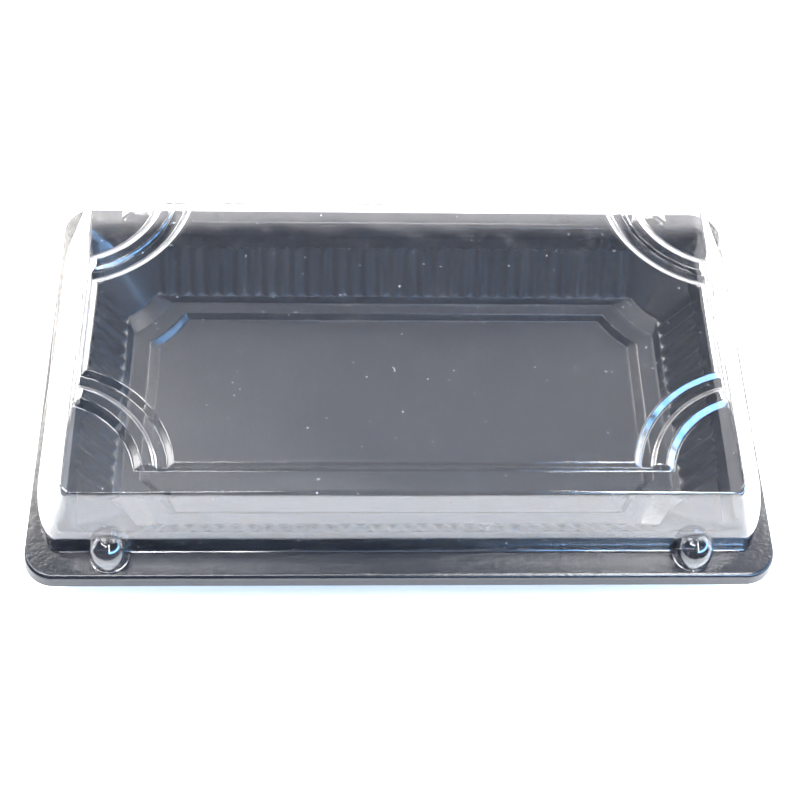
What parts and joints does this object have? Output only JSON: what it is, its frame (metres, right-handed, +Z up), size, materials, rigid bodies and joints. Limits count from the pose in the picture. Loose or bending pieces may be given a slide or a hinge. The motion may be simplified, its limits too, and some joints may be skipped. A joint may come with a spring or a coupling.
{
  "type": "takeaway sushi tray",
  "caption": "Rectangular black formed tray with a fluted well, covered by a clear raised lid that snaps over its bead.",
  "frame": {"origin": "centre of the tray's footprint, on the surface that it stands on", "axes": "+X along the long side, +Y towards the back, +Z up through the lid"},
  "size_m": [0.185, 0.115, 0.0417],
  "materials": {
    "black_plastic": "glossy black formed sheet",
    "clear_plastic": "clear glossy formed sheet"
  },
  "bodies": {
    "root": {"tray_base": "black_plastic", "lid": "clear_plastic"}
  },
  "joints": []
}
